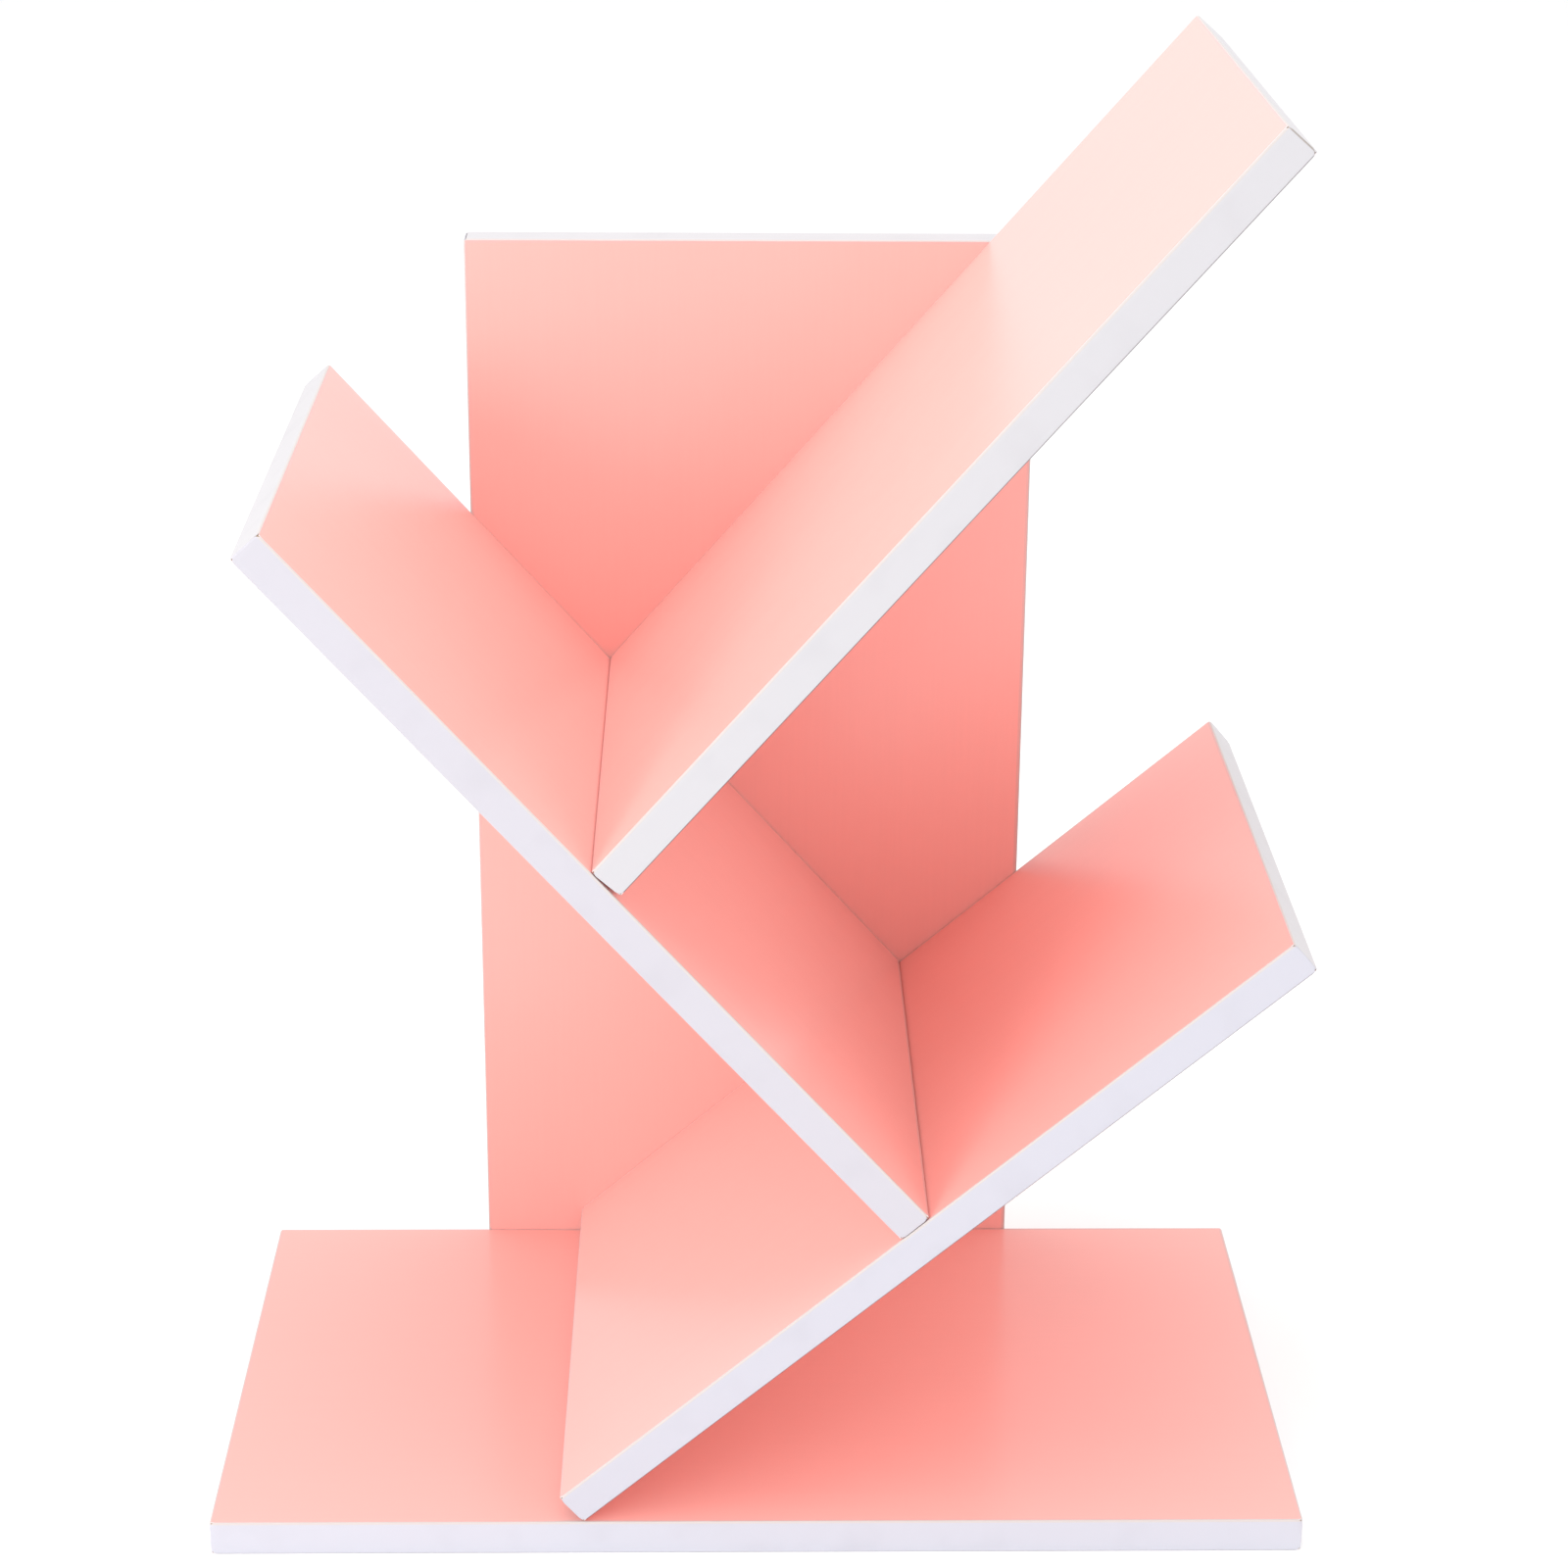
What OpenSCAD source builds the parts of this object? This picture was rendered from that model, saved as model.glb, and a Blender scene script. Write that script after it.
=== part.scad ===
// Desktop tree bookshelf. A base lies on the table, a back board stands behind it, and three
// slanting branches are held by screws through the back board. Each branch also stands on the
// piece below it: the lower branch on the base, the middle one on the lower, the upper one on
// the middle. Books lean in the forks between them.
// Every board is a chipboard core with a pink facing on both sides and a white band on its edges.
// Millimetres, +Z up, +Y to the rear. The origin is the middle of the footprint, on the table.

/* [Board] */
// Thickness of every board, with both facings
board_t = 12; // [9:0.5:18]
// Thickness of the facing on each side of a board
facing_t = 0.3; // [0.2:0.05:0.8]
// Thickness of the edge band
band_t = 0.5; // [0.5:0.1:2]
// Radius of the two long rims of a band
rim_r = 0.4; // [0.1:0.05:0.4]
// Radius at the four corners of a long band, seen from its front
corner_r = 1.5; // [0.5:0.1:4]
// Gap in the seam between a short band and the long bands beside it
seam_gap = 0.1; // [0:0.05:0.4]

/* [Base] */
// Width of the base
base_w = 365; // [320:5:480]
// Depth of the base and of the three branches, from the front to the back board
shelf_d = 204; // [120:1:280]

/* [Back board] */
// Width of the back board
back_w = 200; // [170:1:260]
// Height of the back board, from the table
back_h = 400; // [350:1:460]
// How far the back board stands to the right of the middle of the base
back_shift = -2; // [-10:0.5:10]

/* [Branches] */
// Length of each branch
branch_len = 308; // [280:1:340]
// Angle of the lower branch above the horizontal, rising to the right
lower_angle = 40.8; // [36:0.1:45]
// Angle of the middle branch above the horizontal, rising to the left
middle_angle = 48.2; // [44:0.1:53]
// Angle of the upper branch above the horizontal, rising to the right
upper_angle = 48.9; // [44:0.1:54]
// Place of the lower branch's foot, to the right of the middle of the base
lower_foot_x = -66; // [-80:0.5:-50]
// Distance up the lower branch from its foot to the top corner of the middle branch's foot
middle_foot_at = 160; // [140:0.5:190]
// Distance up the middle branch from its foot to the top corner of the upper branch's foot
upper_foot_at = 161.5; // [140:0.5:190]
// Gap in the crease where a branch's foot stands on the piece below
crease_gap = 0.1; // [0.05:0.05:0.5]

/* [Screws] */
// Length of a screw
screw_len = 35; // [25:1:50]
// Diameter of a screw's head
head_d = 8; // [7:0.1:9]
// Diameter of the plain shank under the head
shank_d = 4; // [3.5:0.1:4.5]
// Diameter of the threaded part inside a branch, without its thread
root_d = 3; // [2:0.1:3.4]
// Space around the shank in the back board's hole, on the radius
shank_gap = 0.2; // [0.1:0.05:0.5]
// Depth of the head below the rear face of the back board
head_sink = 0.3; // [0:0.05:0.6]
// Length of a screw's pointed end
tip_len = 4; // [2:0.5:6]
// Depth that a pilot hole is drilled past the screw's point
pilot_extra = 1; // [0.5:0.5:4]
// Distance of a screw from the end of the joint that it holds
screw_inset = 35; // [20:1:50]
// Width of each slot of the cross recess in the head
recess_w = 1.1; // [0.8:0.1:1.4]
// Length of each slot of the cross recess, at the top of the head
recess_len = 4.6; // [3.5:0.1:5]
// Depth of the cross recess
recess_depth = 2; // [1.2:0.1:2.2]

/* [Hidden] */
$fn = 48;

pink = [1.0, 0.73, 0.69];
white = [0.94, 0.93, 0.96];
chipboard = [0.78, 0.64, 0.46];
zinc = [0.76, 0.77, 0.79];

// How far a cutting shape reaches past the face that it opens
past = 1;

// The three planes that everything is set from, along Y
rear_y = (shelf_d + board_t) / 2;
back_y = rear_y - board_t;
front_y = back_y - shelf_d;
shelf_y = (front_y + back_y) / 2;

// A slope is a board's angle seen from the front, positive where it rises to the right.
// Points and directions in that view are [x, z].
function along(slope) = [cos(slope), sin(slope)];
function above(slope) = [-sin(slope), cos(slope)];

// Which way a branch runs from its foot: 1 to the right, -1 to the left
rightward = 1;
leftward = -1;

lower_slope = lower_angle;
middle_slope = -middle_angle;
upper_slope = upper_angle;

// A foot has two rounded rims. This is how far the one nearer to a face lies above the top
// corner of the foot, measured along the face's own upward direction.
function rim_height(slope, way, face_up) =
    min([for (drop = [rim_r, board_t - rim_r])
        (way * rim_r * along(slope) - drop * above(slope)) * face_up]);

// The top corner of a foot that stands on a face, at a distance along the face from its start,
// negative to the left of it
function foot_on(start, distance, face_slope, slope, way) =
    start
    + distance * along(face_slope)
    + (rim_r + crease_gap - rim_height(slope, way, above(face_slope))) * above(face_slope);

base_middle = [0, board_t];
lower_foot = foot_on(base_middle, lower_foot_x, 0, lower_slope, rightward);
middle_foot = foot_on(lower_foot, middle_foot_at, lower_slope, middle_slope, leftward);
upper_foot = foot_on(middle_foot, -upper_foot_at, middle_slope, upper_slope, rightward);

// Screws stand on the centre line of the board that they hold, inside the back board's outline.
function joint_start(foot, slope) = foot - board_t / 2 * above(slope);
function joint_length(start, run) =
    min(
        (back_shift + sign(run[0]) * back_w / 2 - start[0]) / run[0],
        (back_h - start[1]) / run[1]
    );
function joint_screws(start, run) =
    [for (reach = [screw_inset, joint_length(start, run) - screw_inset]) start + reach * run];

base_screws = [for (side = [-1, 1])
    [back_shift + side * (back_w / 2 - screw_inset), board_t / 2]];
lower_screws = joint_screws(joint_start(lower_foot, lower_slope), along(lower_slope));
middle_screws = joint_screws(joint_start(middle_foot, middle_slope), -along(middle_slope));
upper_screws = joint_screws(joint_start(upper_foot, upper_slope), along(upper_slope));
all_screws = concat(base_screws, lower_screws, middle_screws, upper_screws);

// A board lies with its length on X and its width on Y, centred, and its top face at Z = 0.
// Long bands run along its length and short bands close its ends.

module board_core(length, width) {
    inner_l = length - 2 * band_t;
    inner_w = width - 2 * band_t;
    translate([-inner_l / 2, -inner_w / 2, facing_t - board_t])
        cube([inner_l, inner_w, board_t - 2 * facing_t]);
}

module board_facing(length, width, top) {
    inner_l = length - 2 * band_t;
    inner_w = width - 2 * band_t;
    translate([-inner_l / 2, -inner_w / 2, top ? -facing_t : -board_t])
        cube([inner_l, inner_w, facing_t]);
}

// Section of a band: X points out of the board's edge, Y up the board's thickness
module band_section() {
    intersection() {
        translate([0, -board_t])
            square([band_t, board_t]);
        union() {
            translate([0, -board_t])
                square([band_t - rim_r, board_t]);
            translate([0, rim_r - board_t])
                square([band_t, board_t - 2 * rim_r]);
            for (rim = [-rim_r, rim_r - board_t])
                translate([band_t - rim_r, rim])
                    circle(r = rim_r);
        }
    }
}

// Outline of a long band seen from its front
module band_front(length) {
    translate([-length / 2 + corner_r, -board_t])
        square([length - 2 * corner_r, board_t]);
    translate([-length / 2, corner_r - board_t])
        square([length, board_t - 2 * corner_r]);
    for (x = [corner_r - length / 2, length / 2 - corner_r])
        for (y = [-corner_r, corner_r - board_t])
            translate([x, y])
                circle(r = corner_r);
}

// The long band on the side of the board's width that points to +Y, or to -Y
module long_band(length, width, side) {
    mirror([0, side > 0 ? 0 : 1, 0])
        translate([0, width / 2 - band_t, 0])
            intersection() {
                translate([-length / 2, 0, 0])
                    rotate([90, 0, 90])
                        linear_extrude(height = length)
                            band_section();
                translate([0, band_t, 0])
                    rotate([90, 0, 0])
                        linear_extrude(height = band_t)
                            band_front(length);
            }
}

// The short band on the end of the board that points to +X, or to -X
module short_band(length, width, side) {
    band_len = width - 2 * (band_t + seam_gap);
    mirror([side > 0 ? 0 : 1, 0, 0])
        translate([length / 2 - band_t, band_len / 2, 0])
            rotate([90, 0, 0])
                linear_extrude(height = band_len)
                    band_section();
}

// Where each board goes

module on_base() {
    translate([0, shelf_y, board_t])
        children();
}

// The back board stands on its end, with its top face to the front and its +Y side to the left.
module on_back() {
    translate([back_shift, back_y, back_h / 2])
        rotate([90, 0, 0])
            rotate([0, 0, 90])
                children();
}

module on_branch(foot, slope, way) {
    middle = foot + way * branch_len / 2 * along(slope);
    translate([middle[0], shelf_y, middle[1]])
        rotate([0, -slope, 0])
            children();
}

module on_lower_branch() {
    on_branch(lower_foot, lower_slope, rightward)
        children();
}

module on_middle_branch() {
    on_branch(middle_foot, middle_slope, leftward)
        children();
}

module on_upper_branch() {
    on_branch(upper_foot, upper_slope, rightward)
        children();
}

// A screw and its hole are turned about Z, which points forward from the back board's rear face.

module screw_axis(point) {
    translate([point[0], rear_y, point[1]])
        rotate([90, 0, 0])
            children();
}

module screw_hole() {
    mouth_r = head_d / 2 + head_sink;
    hole_r = shank_d / 2 + shank_gap;
    rotate_extrude()
        polygon([
            [0, -past],
            [mouth_r + past, -past],
            [hole_r, mouth_r - hole_r],
            [hole_r, board_t],
            [root_d / 2, board_t],
            [root_d / 2, head_sink + screw_len + pilot_extra],
            [0, head_sink + screw_len + pilot_extra]
        ]);
}

// The recess for a cross driver: two crossed slots that taper towards the driver's point
module cross_recess() {
    intersection() {
        for (turn = [0, 90])
            rotate([0, 0, turn])
                translate([-recess_len / 2, -recess_w / 2, -past])
                    cube([recess_len, recess_w, recess_depth + past]);
        rotate_extrude()
            polygon([
                [0, -past],
                [recess_len / 2, -past],
                [recess_len / 2, 0],
                [recess_w / 2, recess_depth],
                [0, recess_depth]
            ]);
    }
}

module screw() {
    head_r = head_d / 2;
    shank_r = shank_d / 2;
    difference() {
        rotate_extrude()
            polygon([
                [0, head_sink],
                [head_r, head_sink],
                [shank_r, head_sink + head_r - shank_r],
                [shank_r, board_t],
                [root_d / 2, board_t],
                [root_d / 2, head_sink + screw_len - tip_len],
                [0, head_sink + screw_len]
            ]);
        translate([0, 0, head_sink])
            cross_recess();
    }
}

module drilled(points) {
    difference() {
        children();
        for (point = points)
            screw_axis(point)
                screw_hole();
    }
}

// The base

module base_core() {
    color(chipboard) drilled(base_screws) on_base() board_core(base_w, shelf_d);
}

module base_top_facing() {
    color(pink) on_base() board_facing(base_w, shelf_d, true);
}

module base_bottom_facing() {
    color(pink) on_base() board_facing(base_w, shelf_d, false);
}

module base_front_band() {
    color(white) on_base() long_band(base_w, shelf_d, -1);
}

module base_rear_band() {
    color(white) drilled(base_screws) on_base() long_band(base_w, shelf_d, 1);
}

module base_left_band() {
    color(white) on_base() short_band(base_w, shelf_d, -1);
}

module base_right_band() {
    color(white) on_base() short_band(base_w, shelf_d, 1);
}

// The back board, with its long bands on its two sides

module back_core() {
    color(chipboard) drilled(all_screws) on_back() board_core(back_h, back_w);
}

module back_front_facing() {
    color(pink) drilled(all_screws) on_back() board_facing(back_h, back_w, true);
}

module back_rear_facing() {
    color(pink) drilled(all_screws) on_back() board_facing(back_h, back_w, false);
}

module back_left_band() {
    color(white) on_back() long_band(back_h, back_w, 1);
}

module back_right_band() {
    color(white) on_back() long_band(back_h, back_w, -1);
}

module back_top_band() {
    color(white) on_back() short_band(back_h, back_w, 1);
}

module back_bottom_band() {
    color(white) on_back() short_band(back_h, back_w, -1);
}

// The lower branch, which rises to the right, so its foot is its -X end

module lower_branch_core() {
    color(chipboard) drilled(lower_screws) on_lower_branch() board_core(branch_len, shelf_d);
}

module lower_branch_top_facing() {
    color(pink) on_lower_branch() board_facing(branch_len, shelf_d, true);
}

module lower_branch_bottom_facing() {
    color(pink) on_lower_branch() board_facing(branch_len, shelf_d, false);
}

module lower_branch_front_band() {
    color(white) on_lower_branch() long_band(branch_len, shelf_d, -1);
}

module lower_branch_rear_band() {
    color(white) drilled(lower_screws) on_lower_branch() long_band(branch_len, shelf_d, 1);
}

module lower_branch_foot_band() {
    color(white) on_lower_branch() short_band(branch_len, shelf_d, -1);
}

module lower_branch_tip_band() {
    color(white) on_lower_branch() short_band(branch_len, shelf_d, 1);
}

// The middle branch, which rises to the left, so its foot is its +X end

module middle_branch_core() {
    color(chipboard) drilled(middle_screws) on_middle_branch() board_core(branch_len, shelf_d);
}

module middle_branch_top_facing() {
    color(pink) on_middle_branch() board_facing(branch_len, shelf_d, true);
}

module middle_branch_bottom_facing() {
    color(pink) on_middle_branch() board_facing(branch_len, shelf_d, false);
}

module middle_branch_front_band() {
    color(white) on_middle_branch() long_band(branch_len, shelf_d, -1);
}

module middle_branch_rear_band() {
    color(white) drilled(middle_screws) on_middle_branch() long_band(branch_len, shelf_d, 1);
}

module middle_branch_foot_band() {
    color(white) on_middle_branch() short_band(branch_len, shelf_d, 1);
}

module middle_branch_tip_band() {
    color(white) on_middle_branch() short_band(branch_len, shelf_d, -1);
}

// The upper branch, which rises to the right, so its foot is its -X end

module upper_branch_core() {
    color(chipboard) drilled(upper_screws) on_upper_branch() board_core(branch_len, shelf_d);
}

module upper_branch_top_facing() {
    color(pink) on_upper_branch() board_facing(branch_len, shelf_d, true);
}

module upper_branch_bottom_facing() {
    color(pink) on_upper_branch() board_facing(branch_len, shelf_d, false);
}

module upper_branch_front_band() {
    color(white) on_upper_branch() long_band(branch_len, shelf_d, -1);
}

module upper_branch_rear_band() {
    color(white) drilled(upper_screws) on_upper_branch() long_band(branch_len, shelf_d, 1);
}

module upper_branch_foot_band() {
    color(white) on_upper_branch() short_band(branch_len, shelf_d, -1);
}

module upper_branch_tip_band() {
    color(white) on_upper_branch() short_band(branch_len, shelf_d, 1);
}

// The screws, which are all alike: two into the base and two into each branch

module back_screws() {
    color(zinc)
        for (point = all_screws)
            screw_axis(point)
                screw();
}

base_core();
base_top_facing();
base_bottom_facing();
base_front_band();
base_rear_band();
base_left_band();
base_right_band();
back_core();
back_front_facing();
back_rear_facing();
back_left_band();
back_right_band();
back_top_band();
back_bottom_band();
lower_branch_core();
lower_branch_top_facing();
lower_branch_bottom_facing();
lower_branch_front_band();
lower_branch_rear_band();
lower_branch_foot_band();
lower_branch_tip_band();
middle_branch_core();
middle_branch_top_facing();
middle_branch_bottom_facing();
middle_branch_front_band();
middle_branch_rear_band();
middle_branch_foot_band();
middle_branch_tip_band();
upper_branch_core();
upper_branch_top_facing();
upper_branch_bottom_facing();
upper_branch_front_band();
upper_branch_rear_band();
upper_branch_foot_band();
upper_branch_tip_band();
back_screws();
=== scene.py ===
# %% [markdown]
# # Desktop tree bookshelf
#
# Five flat boards make this shelf: a base, an upright back board and three slanting branches.
# Each board is chipboard with a pink melamine skin on both sides and a white plastic band glued
# round its edges. The CAD model already holds every piece at its real size. This lesson gives
# the pieces their looks: it rebuilds the bands with softly rounded rims, makes a finish for each
# of the four materials, and sets up the studio and the camera.
#
# Lengths are in metres. +Z is up, +Y runs to the back, and the origin is on the table, under the
# middle of the shelf.

import bmesh
import bpy
import numpy as np
from mathutils import Matrix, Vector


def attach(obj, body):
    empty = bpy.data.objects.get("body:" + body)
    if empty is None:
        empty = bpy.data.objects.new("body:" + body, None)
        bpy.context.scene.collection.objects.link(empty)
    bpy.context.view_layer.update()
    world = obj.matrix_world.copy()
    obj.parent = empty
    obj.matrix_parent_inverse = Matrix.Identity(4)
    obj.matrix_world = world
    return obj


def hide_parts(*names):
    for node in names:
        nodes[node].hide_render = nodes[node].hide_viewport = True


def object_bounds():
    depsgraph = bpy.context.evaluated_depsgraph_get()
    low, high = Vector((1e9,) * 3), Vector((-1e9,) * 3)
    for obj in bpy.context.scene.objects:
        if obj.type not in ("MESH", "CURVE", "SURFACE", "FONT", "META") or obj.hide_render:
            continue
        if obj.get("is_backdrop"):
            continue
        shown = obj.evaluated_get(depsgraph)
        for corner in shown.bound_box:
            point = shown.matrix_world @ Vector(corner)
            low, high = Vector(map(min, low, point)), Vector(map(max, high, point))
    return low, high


MM = 0.001

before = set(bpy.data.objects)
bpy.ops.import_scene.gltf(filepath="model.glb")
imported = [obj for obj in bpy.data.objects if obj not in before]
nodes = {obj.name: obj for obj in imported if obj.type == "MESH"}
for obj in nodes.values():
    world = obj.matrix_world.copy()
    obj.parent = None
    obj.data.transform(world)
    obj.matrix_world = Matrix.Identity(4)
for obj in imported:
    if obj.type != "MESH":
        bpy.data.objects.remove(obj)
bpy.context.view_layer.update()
print("CAD nodes:", len(nodes))

# %% [markdown]
# ## How each board lies
#
# The base and the back board stand square to the axes, and each branch is turned about the Y
# axis. Every piece could be worked out where it stands, with sines and cosines in each line. It
# is simpler to turn its board flat, measure or build it there, and turn it back. The melamine's
# faint grain also follows the long side of its board, so the finish will need the same angle.

# %% Turn of each board
SLOPES = {
    "base": 0.0,
    "back": 90.0,
    "lower_branch": 40.8,
    "middle_branch": -48.2,
    "upper_branch": 48.9,
}


def board_of(name):
    """The board that a node belongs to: the start of its name."""
    return next((board for board in SLOPES if name.startswith(board + "_")), "base")


def board_axes(name):
    """Rows: the direction along the board, the Y axis, and the direction out of its top face."""
    slope = np.radians(SLOPES[board_of(name)])
    return np.array(
        [[np.cos(slope), 0, np.sin(slope)], [0, 1, 0], [-np.sin(slope), 0, np.cos(slope)]]
    )


def flat_box(name):
    """Lowest and highest corner of a CAD node, measured along its board's own axes."""
    mesh = nodes[name].data
    points = np.zeros(len(mesh.vertices) * 3)
    mesh.vertices.foreach_get("co", points)
    points = points.reshape(-1, 3) @ board_axes(name).T
    return points.min(axis=0), points.max(axis=0)


for board in SLOPES:
    low, high = flat_box(board + "_core")
    print(board, "core in mm:", np.round((high - low) / MM, 1))

# %% [markdown]
# ## Edge bands
#
# A plastic band 0.5 mm thick covers the raw edge of each board. After it is glued, a trimming
# cutter runs along it and leaves its rims slightly rounded. That rim draws the fine bright line
# between the pink face and the white edge, so it is worth making as a real, smoothly shaded
# surface. A Bevel modifier on a box would round it too, but also where the band is glued flat
# against the board, and with the same radius all along.
#
# So one formula makes every band. It walks once round a rectangle with rounded corners, and at
# each step it follows the band's profile: out from the board, round the rim and onto the flat
# face. The rim's radius wanders a little along the way, as the pressure on the cutter does.

# %% The band's surface as a grid of points
RIM = 0.4 * MM  # least radius of the trimmed rim
WANDER = 0.15  # how much larger it gets in places, as a share of it
WAVES = np.arange(3, 30, 4)  # how often each of the waves in it runs through, once round
LONG_CORNER = 2.2 * MM  # a long band's ends are rounded by hand with a file
SHORT_CORNER = 0.6 * MM  # a short band is cut square, and its ends are only eased
SUPPORT = 0.9  # the last ring lies this share of the corner's radius inside the outline
RIM_STEPS = 5
CORNER_STEPS = 6
EDGE_STEP = 4 * MM


def outline(length, height, corner):
    """Centres and directions round a rectangle with rounded corners, one row for each point.

    A corner is a quarter circle about a centre that lies one radius inside both sides, so
    point = centre + radius * direction while the direction turns through a right angle. On
    the straight parts the centre slides evenly to the next corner and the direction stays.
    """
    half = np.array([length, height]) / 2 - corner
    middles = np.array([[1, 1], [-1, 1], [-1, -1], [1, -1]]) * half
    turn = np.linspace(0, np.pi / 2, CORNER_STEPS + 1)
    centres, directions = [], []
    for i in range(4):
        angles = turn + i * np.pi / 2
        arc = np.stack([np.cos(angles), np.sin(angles)], axis=1)
        run = middles[(i + 1) % 4] - middles[i]
        steps = max(int(np.hypot(*run) / EDGE_STEP), 1)
        share = np.arange(1, steps)[:, None] / steps
        centres += [middles[i] + 0 * arc, middles[i] + share * run]
        directions += [arc, arc[-1] + 0 * share]
    return np.concatenate(centres), np.concatenate(directions)


def wave(count, rng):
    """A closed curve that wanders smoothly between 0 and 1: a sum of waves with random phases."""
    t = np.linspace(0, 2 * np.pi, count, endpoint=False)[:, None]
    total = np.sin(t * WAVES + rng.uniform(0, 2 * np.pi, len(WAVES))).sum(axis=1)
    return (total - total.min()) / np.ptp(total)


def band_grid(length, height, depth, corner, rng):
    """A grid of rings by points by (along, across, out), for one band that lies flat.

    While the angle a runs from zero to a right angle, a point of the outline moves in by
    rim * (1 - cos a) and out to depth - rim + rim * sin a, which rounds the rim. The first
    ring lies against the board, and the last one lies on the flat face, just inside the rim.
    """
    centres, directions = outline(length, height, corner)
    rim = RIM * (1 + WANDER * wave(len(centres), rng))[:, None]
    a = np.linspace(0, np.pi / 2, RIM_STEPS + 1)[:, None, None]
    inset = rim * (1 - np.cos(a))
    out = depth - rim + rim * np.sin(a)
    inset = np.concatenate([0 * inset[:1], inset, 0 * inset[:1] + SUPPORT * corner])
    out = np.concatenate([0 * out[:1], out, 0 * out[:1] + depth])
    return np.concatenate([centres + (corner - inset) * directions, out], axis=2)


grid = band_grid(300 * MM, 12 * MM, 0.5 * MM, LONG_CORNER, np.random.default_rng(1))
print("One long band:", grid.shape[0], "rings of", grid.shape[1], "points")

# %% [markdown]
# Blender can bridge loops of edges, but the grid already knows which points are neighbours. So it
# becomes a mesh in one go: each ring is joined to the next by four-sided faces, and one flat face
# closes each end. The flat coordinates are kept as a UV map in metres, so the finish can lay its
# pattern along the band at its real size, and v grows towards the side that is seen: the top of
# a shelf board, or the front of the back board.

# %% From the grid to a Blender object
def mesh_from_grid(name, grid, place, seen_side):
    """A closed mesh from rings of points, with place() giving each point's spot in the model.

    Point p of ring r has the number r * count + p, and a face joins it to the next point of
    its ring and to the same two points of the next ring.
    """
    rings, count = grid.shape[:2]
    ring, point = np.meshgrid(np.arange(rings - 1), np.arange(count), indexing="ij")
    after = (point + 1) % count
    here, there = ring * count + point, ring * count + after
    quads = np.stack([here, there, there + count, here + count], axis=-1).reshape(-1, 4)
    caps = [np.arange(count)[::-1].tolist(), (np.arange(count) + (rings - 1) * count).tolist()]
    flat = grid.reshape(-1, 3)
    mesh = bpy.data.meshes.new(name)
    mesh.from_pydata(place(flat).tolist(), [], quads.tolist() + caps)
    corners = np.zeros(len(mesh.loops), dtype=int)
    mesh.loops.foreach_get("vertex_index", corners)
    spots = flat[corners, :2] * [1, seen_side]
    mesh.uv_layers.new(name="flat").data.foreach_set("uv", spots.ravel())
    mesh.polygons.foreach_set("use_smooth", [True] * len(quads) + [False, False])
    outwards = bmesh.new()
    outwards.from_mesh(mesh)
    bmesh.ops.recalc_face_normals(outwards, faces=outwards.faces)
    outwards.to_mesh(mesh)
    outwards.free()
    piece = bpy.data.objects.new(name, mesh)
    bpy.context.scene.collection.objects.link(piece)
    return piece


print("Faces in one long band:", (grid.shape[0] - 1) * grid.shape[1] + 2)

# %% [markdown]
# The CAD band says where the rounded one goes and how large it is, so nothing is fitted by hand.
# Its thinnest side is its depth, its longest side runs along the edge, and it faces away from
# the middle of its board.
#
# The middle branch's end band was cut a little askew. It stops short of the front band at the
# top, and the raw board shows in the open seam.

# %% A band in its place
OPEN_SEAMS = {  # how wide the seam is at its widest, and how fast it closes towards the underside
    "middle_branch_tip_band": (2.0 * MM, 2.0),
}


def dress_band(name, corner, rng):
    """A rounded band in the place and at the size of the CAD band with that name.

    An open seam moves the front end back by widest * share ** power, where share runs from
    0 at the underside to 1 at the top, and the move fades out evenly to the band's other end.
    """
    low, high = flat_box(name)
    core_low, core_high = flat_box(board_of(name) + "_core")
    depth, across, along = np.argsort(high - low)
    size = high - low
    outward = np.sign((low + high - core_low - core_high)[depth])
    seen_side = -1 if board_of(name) == "back" else 1
    widest, power = OPEN_SEAMS.get(name, (0.0, 0.0))
    start = (low + high) / 2
    start[depth] -= outward * size[depth] / 2

    def place(flat):
        share = np.clip(flat[:, 1] / size[across] + 0.5, 0, 1)
        spot = np.tile(start, (len(flat), 1))
        spot[:, along] += flat[:, 0] + widest * share**power * (0.5 - flat[:, 0] / size[along])
        spot[:, across] += flat[:, 1]
        spot[:, depth] += outward * flat[:, 2]
        return spot @ board_axes(name)

    grid = band_grid(size[along], size[across], size[depth], corner, rng)
    piece = mesh_from_grid(name.replace("_band", "_edge"), grid, place, seen_side)
    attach(piece, "root")
    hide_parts(name)
    return piece


print("Open seams in mm:", {name: widest / MM for name, (widest, power) in OPEN_SEAMS.items()})

# %% [markdown]
# The band at the back of each shelf board is pressed flat against the back board and has the
# screws' holes in it, so the CAD piece stays as it is there. All the others are rebuilt.

# %% Build the bands
LONG_BANDS = [
    "base_front_band",
    "lower_branch_front_band",
    "middle_branch_front_band",
    "upper_branch_front_band",
    "back_left_band",
    "back_right_band",
]
SHORT_BANDS = [
    "base_left_band",
    "base_right_band",
    "back_top_band",
    "back_bottom_band",
    "lower_branch_foot_band",
    "lower_branch_tip_band",
    "middle_branch_foot_band",
    "middle_branch_tip_band",
    "upper_branch_foot_band",
    "upper_branch_tip_band",
]
rng = np.random.default_rng(7)
edges = [dress_band(name, LONG_CORNER, rng) for name in LONG_BANDS]
edges += [dress_band(name, SHORT_CORNER, rng) for name in SHORT_BANDS]
print("Bands:", len(edges), "with", sum(len(e.data.polygons) for e in edges), "faces")
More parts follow.
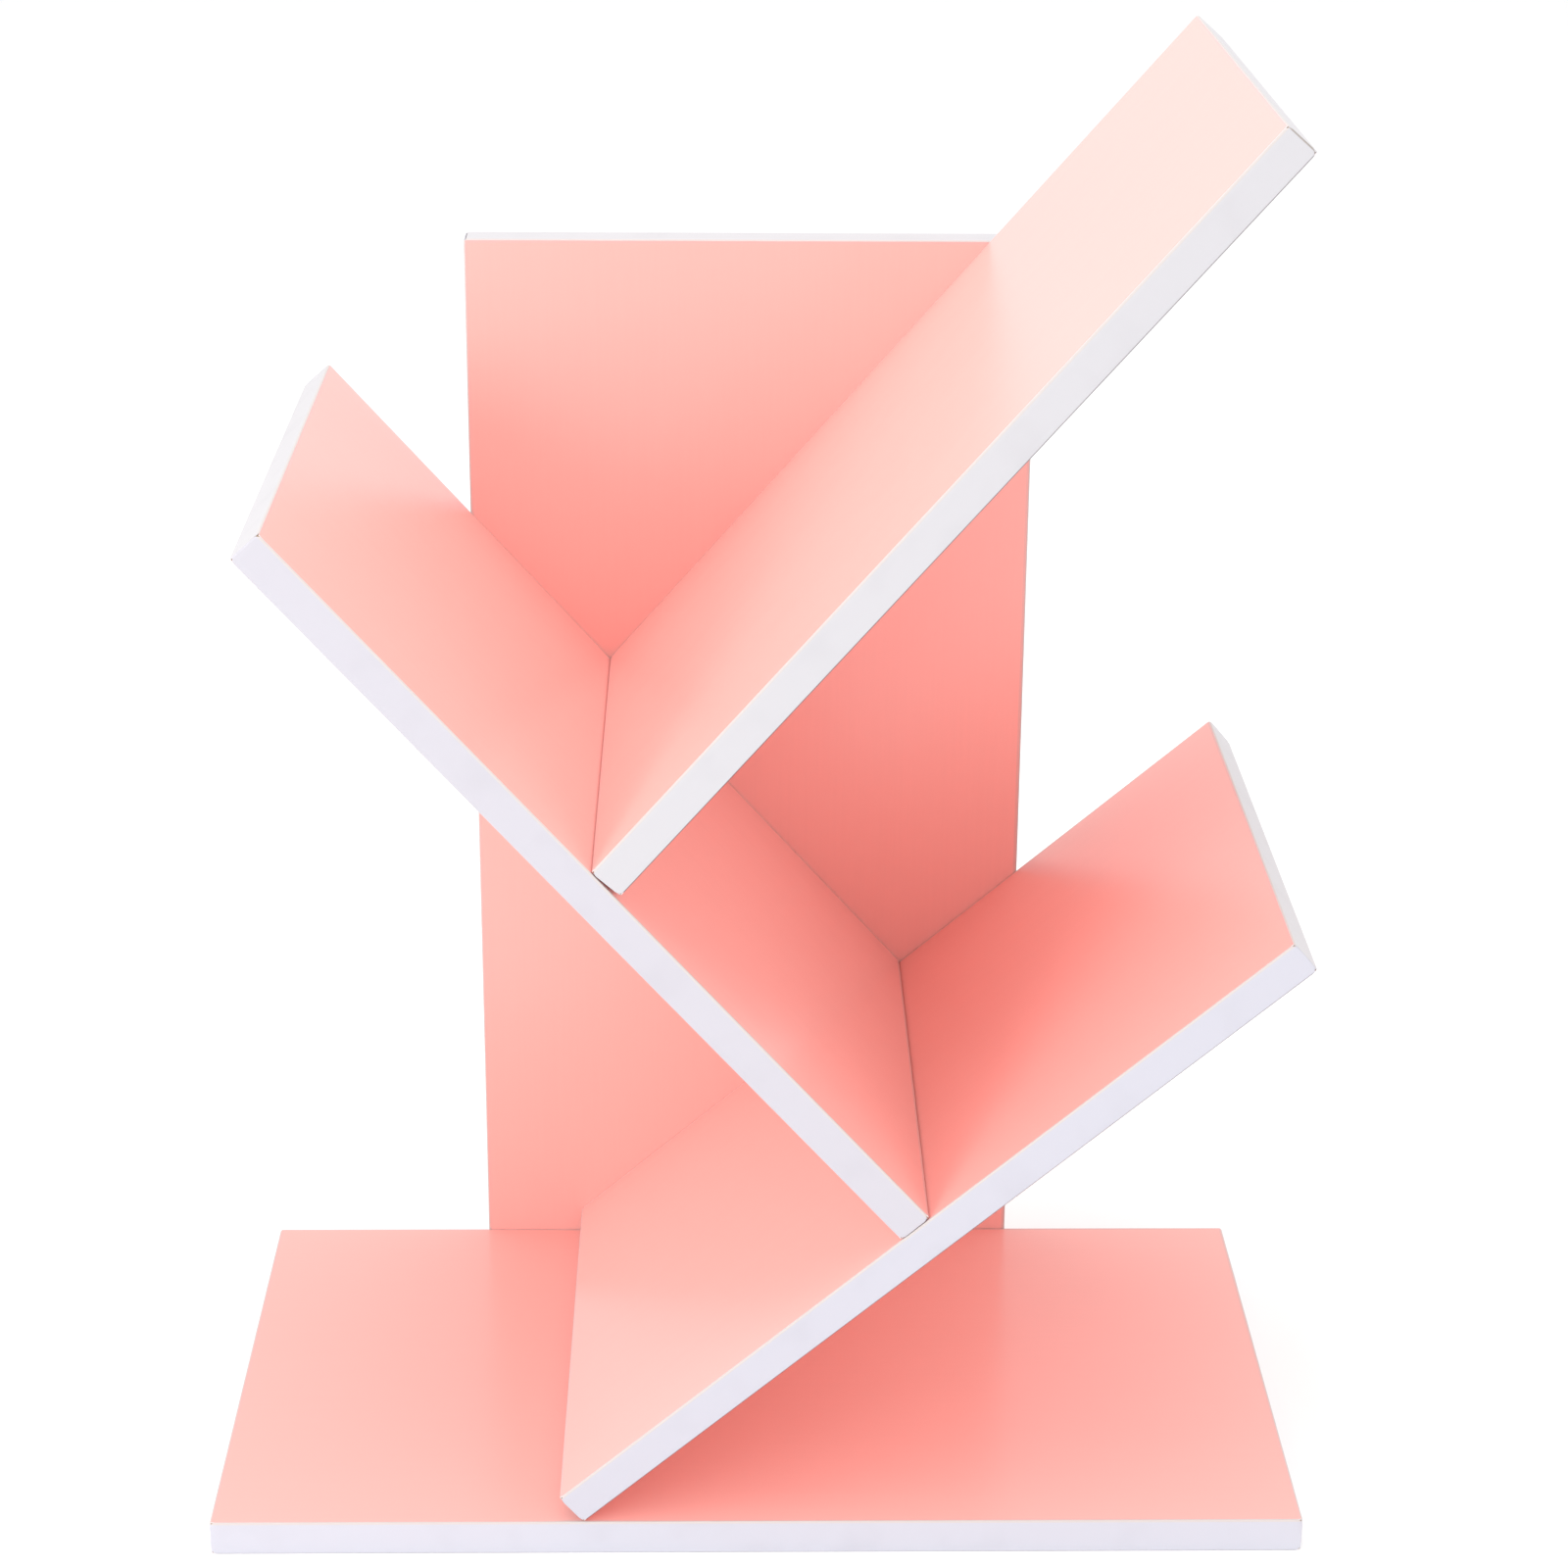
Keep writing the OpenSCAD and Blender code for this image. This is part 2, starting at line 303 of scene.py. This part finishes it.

# %% [markdown]
# ## Finishes
#
# A finish is a small network of nodes that ends in the Principled shader. Four helpers keep the
# code short. One turns a hex colour into the linear values that the renderer works with, one
# adds a node, sets it and links it, one starts a material, and one feeds a node's result to the
# shader.

# %% Helpers for colours and nodes
def linear(code):
    """A hex colour as linear red, green, blue and alpha: the sRGB curve, undone."""
    values = np.array([int(code[i : i + 2], 16) for i in (1, 3, 5)]) / 255
    low = values / 12.92
    high = ((values + 0.055) / 1.055) ** 2.4
    return (*np.where(values <= 0.04045, low, high).tolist(), 1.0)


def add(material, kind, inputs=None, **settings):
    """Adds a node. An input is a value, or another node, or a (node, output name) to link from."""
    tree = material.node_tree
    node = tree.nodes.new(kind)
    for key, value in settings.items():
        setattr(node, key, value)
    for key, value in (inputs or {}).items():
        if isinstance(value, bpy.types.Node):
            value = (value, 0)
        if isinstance(value, tuple) and isinstance(value[0], bpy.types.Node):
            tree.links.new(value[0].outputs[value[1]], node.inputs[key])
        else:
            node.inputs[key].default_value = value
    return node


def finish(name, **surface):
    """A new material whose Principled shader has these values, and that shader."""
    material = bpy.data.materials.new(name)
    material.use_nodes = True
    shader = material.node_tree.nodes["Principled BSDF"]
    for key, value in surface.items():
        shader.inputs[key.replace("_", " ")].default_value = value
    material.diffuse_color = shader.inputs["Base Color"].default_value
    return material, shader


def feed(material, shader, key, node, output=0):
    """Links a node's output to one of the shader's inputs."""
    material.node_tree.links.new(node.outputs[output], shader.inputs[key])


print("White is", linear("#FFFFFF"))

# %% [markdown]
# ## Pink melamine
#
# Melamine is printed paper soaked in resin and pressed hot onto the chipboard. It gives an even
# colour with a satin sheen: seen from low down it mirrors the white studio, which is why the
# upper branch looks almost white near its tip. The steel press plate leaves a faint grain
# along the board, too fine to draw at its real width of some 0.2 mm, so it is drawn at
# about 1 mm and kept very weak. The sheen varies in soft clouds, as the resin's thickness does.
#
# A photo of a sheet could be wrapped round each board. Noise that is stretched along the board
# gives the same look without a file, at any size, and never repeats.

# %% Pink melamine facing
PINK = "#FBB6AE"
GRAIN_LENGTH = 45 * MM
GRAIN_WIDTH = 1.1 * MM  # drawn coarser than the real 0.2 mm, so that it shows
GRAIN_DEPTH = 0.01 * MM
GRAIN_TONE = 0.015  # how much lighter or darker the grain makes the print, as a share of it
SHEEN_CLOUD = 17 * MM
SMOOTH, DULL = 0.19, 0.25  # least and greatest roughness in the clouds

melamine, shader = finish("pressed_pink_melamine", Base_Color=linear(PINK), Roughness=0.22, IOR=1.5)
turn = add(melamine, "ShaderNodeAttribute", attribute_type="OBJECT", attribute_name="slope")
spot = add(melamine, "ShaderNodeTexCoord")
flat, flat_normal = [
    add(
        melamine,
        "ShaderNodeVectorRotate",
        {"Vector": (spot, source), "Angle": (turn, "Fac")},
        rotation_type="Y_AXIS",
    )
    for source in ("Object", "Normal")
]
stretched = add(
    melamine,
    "ShaderNodeVectorMath",
    {0: flat, 1: (1 / GRAIN_LENGTH, 1 / GRAIN_WIDTH, 1 / GRAIN_WIDTH)},
    operation="MULTIPLY",
)
grain = add(melamine, "ShaderNodeTexNoise", {"Vector": stretched, "Scale": 1.0, "Detail": 3.0})
tone = add(
    melamine,
    "ShaderNodeMapRange",
    {"Value": grain, "To Min": 1 - GRAIN_TONE, "To Max": 1 + GRAIN_TONE},
)
print_colour = add(
    melamine,
    "ShaderNodeVectorMath",
    {0: linear(PINK)[:3], 1: (tone, 0)},
    operation="MULTIPLY",
)
relief = add(
    melamine,
    "ShaderNodeBump",
    {"Height": grain, "Strength": 0.25, "Distance": GRAIN_DEPTH},
)
feed(melamine, shader, "Normal", relief)
clouds = add(
    melamine,
    "ShaderNodeTexNoise",
    {"Vector": flat, "Scale": 1 / SHEEN_CLOUD, "Detail": 2.0},
)
sheen = add(melamine, "ShaderNodeMapRange", {"Value": clouds, "To Min": SMOOTH, "To Max": DULL})
feed(melamine, shader, "Roughness", sheen)
print("Melamine, so far:", len(melamine.node_tree.nodes), "nodes")

# %% [markdown]
# The last millimetre of the sheet is drawn greyer: partly the wear of the trimming cutter, and
# partly painted shade of the fine seam where the sheet meets the band. Its cut edges are pale,
# because the paper is only printed on its face. The CAD sheet is one piece with one finish, so the
# finish finds both by itself, from the sheet's own limits, which are stored on the object later on:
# a point is near the rim where its least distance to a limit is small, and it is on a cut edge
# where its surface doesn't face out of the sheet.

# %% The sheet's worn and shaded rim and pale cut edges
WORN_SHADED_REACH = 1.1 * MM  # how far the wear and the painted shade reach in from the edge
WORN_SHADED_SHARE = 0.4  # how much of the print it hides at most
# The grey tint of the rim is partly wear and partly painted shade of the seam with the band.
WORN_SHADED_TINT, BARE_PAPER = "#C4B4B4", "#E4DDDE"

low_limit, high_limit, thin, has_rim = [
    add(melamine, "ShaderNodeAttribute", attribute_type="OBJECT", attribute_name=key)
    for key in ("flat_low", "flat_high", "thin_way", "has_rim")
]
gaps = [
    add(melamine, "ShaderNodeVectorMath", {0: first, 1: second}, operation="SUBTRACT")
    for first, second in ((flat, (low_limit, "Vector")), ((high_limit, "Vector"), flat))
]
nearest = add(melamine, "ShaderNodeVectorMath", {0: gaps[0], 1: gaps[1]}, operation="MINIMUM")
parts = add(melamine, "ShaderNodeSeparateXYZ", {"Vector": nearest})
inside = add(melamine, "ShaderNodeMath", {0: (parts, "X"), 1: (parts, "Y")}, operation="MINIMUM")
inside = add(melamine, "ShaderNodeMath", {0: inside, 1: (parts, "Z")}, operation="MINIMUM")
# The rim mask: greyer towards the sheet's rim, partly wear, partly painted shade of the seam.
worn_shaded_rim = add(
    melamine,
    "ShaderNodeMapRange",
    {
        "Value": inside,
        "From Min": WORN_SHADED_REACH / 2,
        "From Max": WORN_SHADED_REACH,
        "To Min": WORN_SHADED_SHARE,
        "To Max": 0.0,
    },
)
facing_out = add(
    melamine,
    "ShaderNodeVectorMath",
    {0: flat_normal, 1: (thin, "Vector")},
    operation="DOT_PRODUCT",
)
flatness = add(melamine, "ShaderNodeMath", {0: (facing_out, "Value")}, operation="ABSOLUTE")
cut = add(melamine, "ShaderNodeMath", {0: flatness, 1: 0.5}, operation="LESS_THAN")
colour = print_colour
for amount, tint in ((worn_shaded_rim, WORN_SHADED_TINT), (cut, BARE_PAPER)):
    share = add(
        melamine, "ShaderNodeMath", {0: amount, 1: (has_rim, "Fac")}, operation="MULTIPLY"
    )
    mixed = add(
        melamine,
        "ShaderNodeMix",
        {"Factor": share, "A": colour, "B": linear(tint)},
        data_type="RGBA",
    )
    colour = (mixed, "Result")
feed(melamine, shader, "Base Color", mixed, "Result")
print("Melamine:", len(melamine.node_tree.nodes), "nodes")

# %% [markdown]
# ## White edge band
#
# The band is solid white PVC with a softer sheen than the melamine. It is rolled out in long
# strips, so it has very faint streaks along it, and new boards carry faint smudges and a few
# dark specks of dust from the trimming.
#
# The bands run in five directions, so a pattern in the model's coordinates would cross most of
# them askew. A rebuilt band carries its flat coordinates as a UV map instead. The CAD bands at the
# back have none, so there the same two numbers come from the object's coordinates, turned flat by
# the board's slope.

# %% Flat coordinates of a CAD band
def flat_spot(material):
    """Along and across a CAD band, from its middle, as the first two values of a vector."""
    place = add(material, "ShaderNodeTexCoord")
    turn = add(material, "ShaderNodeAttribute", attribute_type="OBJECT", attribute_name="slope")
    middle = add(material, "ShaderNodeAttribute", attribute_type="OBJECT", attribute_name="middle")
    flat = add(
        material,
        "ShaderNodeVectorRotate",
        {"Vector": (place, "Object"), "Angle": (turn, "Fac")},
        rotation_type="Y_AXIS",
    )
    reach = add(
        material,
        "ShaderNodeVectorMath",
        {0: flat, 1: (middle, "Vector")},
        operation="SUBTRACT",
    )
    parts = add(material, "ShaderNodeSeparateXYZ", {"Vector": reach})
    return add(material, "ShaderNodeCombineXYZ", {"X": (parts, "X"), "Y": (parts, "Z")})


low, high = flat_box("base_rear_band")
print("A CAD band in mm:", np.round((high - low) / MM, 1))

# %% [markdown]
# Smudges are soft clouds of grime. For the specks the band is divided into random fields: a dot
# is drawn at the middle of each, and only a few in a hundred are kept. The pattern is the same
# round the middle of every band, but it is so faint that nobody sees it twice, and one network
# serves them all.

# %% Smudges and specks
SMUDGE = 22 * MM
SMUDGED_SHARE = 0.09  # how much of the white a smudge hides at most
SPECK_FIELD = 9 * MM
SPECK_CHANCE = 0.06  # share of the fields whose speck is kept
SPECK_CORE, SPECK_EDGE = 0.2 * MM, 0.45 * MM  # where a speck is fully dark, and where it ends
GRIME = "#8F8A92"


def soiled(band, spot, white):
    """A mix of the white and the grime: white * (1 - dirt) + grime * dirt, dirt from 0 to 1."""
    haze = add(band, "ShaderNodeTexNoise", {"Vector": spot, "Scale": 1 / SMUDGE, "Detail": 2.0})
    smudge = add(
        band,
        "ShaderNodeMapRange",
        {
            "Value": haze,
            "From Min": 0.5,
            "From Max": 0.8,
            "To Min": 0.0,
            "To Max": SMUDGED_SHARE,
        },
    )
    fields = add(band, "ShaderNodeTexVoronoi", {"Vector": spot, "Scale": 1 / SPECK_FIELD})
    speck = add(
        band,
        "ShaderNodeMapRange",
        {
            "Value": (fields, "Distance"),
            "From Min": SPECK_CORE / SPECK_FIELD,
            "From Max": SPECK_EDGE / SPECK_FIELD,
            "To Min": 1.0,
            "To Max": 0.0,
        },
    )
    draw = add(band, "ShaderNodeSeparateColor", {"Color": (fields, "Color")})
    kept = add(band, "ShaderNodeMath", {0: (draw, "Red"), 1: SPECK_CHANCE}, operation="LESS_THAN")
    dust = add(band, "ShaderNodeMath", {0: speck, 1: kept}, operation="MULTIPLY")
    dirt = add(band, "ShaderNodeMath", {0: dust, 1: smudge}, operation="MAXIMUM")
    return add(
        band,
        "ShaderNodeMix",
        {"Factor": dirt, "A": linear(white), "B": linear(GRIME)},
        data_type="RGBA",
    )


print("A speck's field in mm:", SPECK_FIELD / MM)

# %% [markdown]
# The rims look different from the middle. On the side that is seen, a fine cream line lies
# against the pink: partly the glue, which shines through the trimmed plastic, and partly a painted
# warm highlight, where the rounded top rim catches the light and the pink. The rim below is tinted
# grey as painted shade. Where a branch's foot closes a fork, its rim lies in the crease between two
# boards, and it is tinted a darker pink there, as painted shade and painted reflection of the pink
# boards, so that the crease reads as a thin dark line. At the upper branch's tip a bead of glue has
# darkened the end of the front band, along the seam with the end band. All these are narrower
# than a millimetre and have no height to speak of, so a tint by position is enough.

# %% Tinted rims and the bead of glue
HALF_BOARD = 6.0 * MM
SEEN_RIM = 0.8 * MM
FAR_RIM = 0.3 * MM
RIM_FADE = 0.1 * MM  # a rim's tint fades over this width to each side
GLUE = 0.5 * MM  # width of the bead of glue
GLUE_GREY = "#A29A95"


def rimmed(band, spot, colour, seen_rim, far_rim, glue_from):
    """The colour with a tint past each rim's start, and with glue past glue_from.

    A rim's tint rises evenly from none to all while the distance across the band goes from
    start - fade to start + fade, where start is half the board less the rim's width.
    """
    parts = add(band, "ShaderNodeSeparateXYZ", {"Vector": spot})
    # The seen rim's tint is the glue line with a painted warm highlight; the far rim's tint is
    # painted shade.
    for side, width, tint in ((1, SEEN_RIM, seen_rim), (-1, FAR_RIM, far_rim)):
        start = HALF_BOARD - width
        trimmed = add(
            band,
            "ShaderNodeMapRange",
            {
                "Value": (parts, "Y"),
                "From Min": side * (start - RIM_FADE),
                "From Max": side * (start + RIM_FADE),
            },
        )
        colour = add(
            band,
            "ShaderNodeMix",
            {"Factor": trimmed, "A": (colour, "Result"), "B": linear(tint)},
            data_type="RGBA",
        )
    if glue_from:
        bead = add(
            band, "ShaderNodeMath", {0: (parts, "X"), 1: glue_from}, operation="GREATER_THAN"
        )
        colour = add(
            band,
            "ShaderNodeMix",
            {"Factor": bead, "A": (colour, "Result"), "B": linear(GLUE_GREY)},
            data_type="RGBA",
        )
    return colour


print("Rims in mm:", round(SEEN_RIM / MM, 2), "and", round(FAR_RIM / MM, 2))

# %% [markdown]
# The same white plastic is given a slightly different white on each kind of band, as painted
# light: the front bands of the base and of the lower branch are slightly lavender, for the cooler
# light on them, the other long bands are more neutral, and the short end bands are neutral and a
# little lighter. The bands at the back are the whitest.

# %% White plastic bands
STREAK_LENGTH = 33 * MM
STREAK_WIDTH = 0.8 * MM  # drawn coarser than the real ones, so that they show
STREAK_DEPTH = 0.01 * MM
END_WHITE = "#CBC8CB"
# The two greys for the rim below are painted shade: the darker one goes on the branches' front
# bands that get less light.
CREAM, FAR_RIM_SHADE, PALE_FAR_RIM_SHADE = "#CCC4C1", "#63555A", "#BEBAC0"


def band_finish(name, white, seen_rim, far_rim, glue_from=None, on_cad=False):
    """The band's plastic in one tint of white, with its dirt, its rims and its streaks.

    glue_from is where a bead of glue starts, measured along the band from its middle.
    """
    band, shader = finish(name, Base_Color=linear(white), Roughness=0.42, IOR=1.52)
    spot = flat_spot(band) if on_cad else add(band, "ShaderNodeUVMap", uv_map="flat")
    colour = soiled(band, spot, white)
    colour = rimmed(band, spot, colour, seen_rim, far_rim, glue_from)
    feed(band, shader, "Base Color", colour, "Result")
    stretched = add(
        band,
        "ShaderNodeVectorMath",
        {0: spot, 1: (1 / STREAK_LENGTH, 1 / STREAK_WIDTH, 1.0)},
        operation="MULTIPLY",
    )
    streaks = add(band, "ShaderNodeTexNoise", {"Vector": stretched, "Scale": 1.0, "Detail": 3.0})
    relief = add(
        band,
        "ShaderNodeBump",
        {"Height": streaks, "Strength": 0.2, "Distance": STREAK_DEPTH},
    )
    feed(band, shader, "Normal", relief)
    return band


upper_low, upper_high = flat_box("upper_branch_front_band")
glue_from = (upper_high - upper_low)[0] / 2 - GLUE

# The whites differ with the light that falls on each band, as painted light.
base_band = band_finish("rolled_pvc_lavender", "#C8C8D2", CREAM, PALE_FAR_RIM_SHADE)
lower_band = band_finish("rolled_pvc_lavender_shaded_rim", "#C4C3CD", CREAM, FAR_RIM_SHADE)
plain_band = band_finish("rolled_pvc_neutral", "#C4C1C9", CREAM, PALE_FAR_RIM_SHADE)
upper_band = band_finish("rolled_pvc_neutral_glued", "#C6C4C8", CREAM, FAR_RIM_SHADE, glue_from)
rear_band = band_finish("rolled_pvc_neutral_rear", "#D3D0D7", CREAM, PALE_FAR_RIM_SHADE, on_cad=True)
end_band = band_finish("rolled_pvc_end", END_WHITE, CREAM, PALE_FAR_RIM_SHADE)
# On the feet the seen rim is tinted a darker pink: painted shade and painted reflection in the
# crease.
upper_foot_band = band_finish("rolled_pvc_upper_foot", END_WHITE, "#C27E76", PALE_FAR_RIM_SHADE)
middle_foot_band = band_finish("rolled_pvc_middle_foot", END_WHITE, "#D59C94", PALE_FAR_RIM_SHADE)
print("The bead of glue starts", round(glue_from / MM, 1), "mm from the band's middle")

# %% [markdown]
# ## Chipboard
#
# The core is pressed from wood chips. It is only seen in the seams between two bands, and it is
# drawn a darker brown than raw chipboard, as painted shade of the narrow seam, so that the seam
# reads as a dark line. Random cells, each with a brown of its own, look like the sawn chips at a
# fraction of the cost of modelling them.

# %% Raw chipboard
CHIP = 1.7 * MM
CHIP_DEPTH = 0.1 * MM

# These browns are darker than raw chipboard: painted shade of the narrow seam.
chipboard, shader = finish("sawn_chipboard", Base_Color=linear("#8A6A4A"), Roughness=0.85, IOR=1.45)
spot = add(chipboard, "ShaderNodeTexCoord")
chips = add(chipboard, "ShaderNodeTexVoronoi", {"Vector": (spot, "Object"), "Scale": 1 / CHIP})
part = add(chipboard, "ShaderNodeSeparateColor", {"Color": (chips, "Color")})
colour = add(
    chipboard,
    "ShaderNodeMix",
    {"Factor": (part, "Red"), "A": linear("#6E5038"), "B": linear("#A3805A")},
    data_type="RGBA",
)
feed(chipboard, shader, "Base Color", colour, "Result")
relief = add(
    chipboard,
    "ShaderNodeBump",
    {"Height": (chips, "Distance"), "Strength": 0.6, "Distance": CHIP_DEPTH},
)
feed(chipboard, shader, "Normal", relief)
print("Chipboard:", len(chipboard.node_tree.nodes), "nodes")

# %% [markdown]
# ## Zinc-plated screws
#
# The screws are steel with a thin bright zinc coat, which dulls in small patches. The heads, sunk
# into the back board, show only from behind. A metal has no colour under its shine, so only the
# shine varies: the patches change the roughness and nothing else.

# %% Zinc-plated steel
PATCH = 1.1 * MM
BRIGHT, TARNISHED = 0.22, 0.4  # least and greatest roughness in the patches

zinc, shader = finish(
    "zinc_plated_steel", Base_Color=linear("#C3C5CA"), Metallic=1.0, Roughness=0.3
)
spot = add(zinc, "ShaderNodeTexCoord")
patches = add(
    zinc,
    "ShaderNodeTexNoise",
    {"Vector": (spot, "Object"), "Scale": 1 / PATCH, "Detail": 4.0},
)
coat = add(zinc, "ShaderNodeMapRange", {"Value": patches, "To Min": BRIGHT, "To Max": TARNISHED})
feed(zinc, shader, "Roughness", coat)
print("Zinc:", len(zinc.node_tree.nodes), "nodes")

# %% [markdown]
# ## Who wears what
#
# Each CAD node already has a material slot, so its finish is changed by filling that slot. The
# melamine reads four things from its object: the board's slope, the sheet's limits in the flat
# position, the direction in which it is thin, and a mark that says that these are known. In the
# thin direction the limits are moved a metre out, so that they never count as near. The bands at
# the back read the slope too, and the middle of their box.

# %% Give every piece its finish
for name, node in nodes.items():
    if name.endswith("_facing"):
        look = melamine
    elif name.endswith("_band"):
        look = rear_band
    elif name.endswith("_core"):
        look = chipboard
    else:
        look = zinc
    low, high = flat_box(name)
    thin_way = (np.arange(3) == np.argmin(high - low)).astype(float)
    node["slope"] = float(np.radians(SLOPES[board_of(name)]))
    node["flat_low"] = (low - thin_way).tolist()
    node["flat_high"] = (high + thin_way).tolist()
    node["thin_way"] = thin_way.tolist()
    node["middle"] = ((low + high) / 2).tolist()
    node["has_rim"] = 1.0
    if not node.material_slots:
        node.data.materials.append(look)
    for slot in node.material_slots:
        slot.material = look

SPECIAL = {
    "base_front_edge": base_band,
    "lower_branch_front_edge": lower_band,
    "upper_branch_front_edge": upper_band,
    "upper_branch_foot_edge": upper_foot_band,
    "middle_branch_foot_edge": middle_foot_band,
}
for i, edge in enumerate(edges):
    look = plain_band if i < len(LONG_BANDS) else end_band
    edge.data.materials.append(SPECIAL.get(edge.name, look))
print("Finishes:", [m.name for m in bpy.data.materials if m.users])

# %% [markdown]
# ## The studio
#
# The product stands on a table of white opal acrylic in a white light tent. A little light comes
# up through the table, which keeps it clean white right up to the object. The tent is the world's
# even white light.

# %% Table and tent
TABLE_HALF = 6.0  # half the side of the square table
GLOW = 0.03
TENT = 1.0

acrylic, shader = finish(
    "cast_opal_acrylic",
    Base_Color=linear("#FAFAFA"),
    Roughness=0.9,
    IOR=1.49,
    Emission_Color=linear("#FFFFFF"),
    Emission_Strength=GLOW,
)
floor_mesh = bpy.data.meshes.new("floor")
corners = [(x * TABLE_HALF, y * TABLE_HALF, 0.0) for x, y in ((-1, -1), (1, -1), (1, 1), (-1, 1))]
floor_mesh.from_pydata(corners, [], [(0, 1, 2, 3)])
floor_mesh.materials.append(acrylic)
floor = bpy.data.objects.new("floor", floor_mesh)
bpy.context.scene.collection.objects.link(floor)
floor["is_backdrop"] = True

world = bpy.data.worlds.new("white_tent")
world.use_nodes = True
world.node_tree.nodes["Background"].inputs["Color"].default_value = linear("#FFFFFF")
world.node_tree.nodes["Background"].inputs["Strength"].default_value = TENT
bpy.context.scene.world = world
print("Table in metres:", 2 * TABLE_HALF, "square")

# %% [markdown]
# The tent alone would leave the boards flat, so six softboxes add direction. The strongest stands
# low on the left and lights the front of the boards, the next hangs above, and the others only
# lift the shadows a little. A softbox is a rectangular lamp: the larger it is, the softer its
# shadows are.

# %% Softboxes
AIM = (0.0, 0.0, 0.25)  # the middle of the shelf, which every softbox faces
SOFTBOXES = {  # place, width, height and power in watts
    "top_softbox": ((-0.1, -0.1, 1.7), 1.2, 1.2, 9.2),
    "upper_left_softbox": ((-1.1, -0.9, 1.5), 0.8, 0.8, 2.0),
    "low_left_softbox": ((-1.4, -1.3, 0.45), 0.8, 0.8, 10.6),
    "low_right_softbox": ((1.4, -1.3, 0.45), 0.8, 0.8, 2.4),
    "front_softbox": ((-0.3, -1.9, 1.5), 1.0, 1.0, 1.1),
    "right_softbox": ((1.6, -0.4, 1.0), 1.0, 1.0, 1.1),
}


def pose(place, axes):
    """The matrix of an object at a place, with its x, y and z axes along these directions."""
    columns = np.stack(axes, axis=1).tolist()
    return Matrix([[*row, p] for row, p in zip(columns, place)] + [[0, 0, 0, 1]])


def looking(place, target):
    """The matrix of a light or camera at a place, facing a target."""
    place, target = np.array(place), np.array(target)
    back = (place - target) / np.linalg.norm(place - target)
    right = np.cross([0, 0, 1], back)
    right /= np.linalg.norm(right)
    return pose(place, [right, np.cross(back, right), back])


for name, (place, wide, high, power) in SOFTBOXES.items():
    lamp = bpy.data.lights.new(name, "AREA")
    lamp.shape = "RECTANGLE"
    lamp.size, lamp.size_y, lamp.energy = wide, high, power
    light = bpy.data.objects.new(name, lamp)
    bpy.context.scene.collection.objects.link(light)
    light.matrix_world = looking(place, AIM)
print("Softboxes in watts:", {name: power for name, (_, _, _, power) in SOFTBOXES.items()})

# %% [markdown]
# ## The camera
#
# The photograph was taken with a longish lens from a little over a metre away, looking down at
# about 21 degrees. These values were found by matching the corners of the boards.

# %% Camera
LENS, SENSOR = 80.216, 36.0  # mm
PLACE = np.array([-13.346, -1106.724, 661.795]) * MM
YAW, PITCH, ROLL = np.radians([1.157, 21.125, 0.460])
NEAR, FAR = 0.05, 30.0  # the camera draws nothing outside these distances

forward = np.array([np.sin(YAW) * np.cos(PITCH), np.cos(YAW) * np.cos(PITCH), -np.sin(PITCH)])
level = np.array([np.cos(YAW), -np.sin(YAW), 0.0])
upright = np.cross(level, forward)
right = np.cos(ROLL) * level + np.sin(ROLL) * upright
up = -np.sin(ROLL) * level + np.cos(ROLL) * upright

camera_data = bpy.data.cameras.new("camera")
camera_data.lens = LENS
camera_data.sensor_width = SENSOR
camera_data.clip_start, camera_data.clip_end = NEAR, FAR
camera = bpy.data.objects.new("camera", camera_data)
bpy.context.scene.collection.objects.link(camera)
camera.matrix_world = pose(PLACE, [right, up, -forward])
bpy.context.scene.camera = camera
bpy.context.scene.view_settings.view_transform = "Standard"
print("Camera at", np.round(PLACE, 3), "looking along", np.round(forward, 3))

# %% [markdown]
# ## Finish
#
# The dressed model's size is measured and printed. The dressed model must stay inside
# the CAD model's box.

# %% Measure and finish
low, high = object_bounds()
print("Dressed size in mm:", [round(v / MM, 2) for v in high - low])
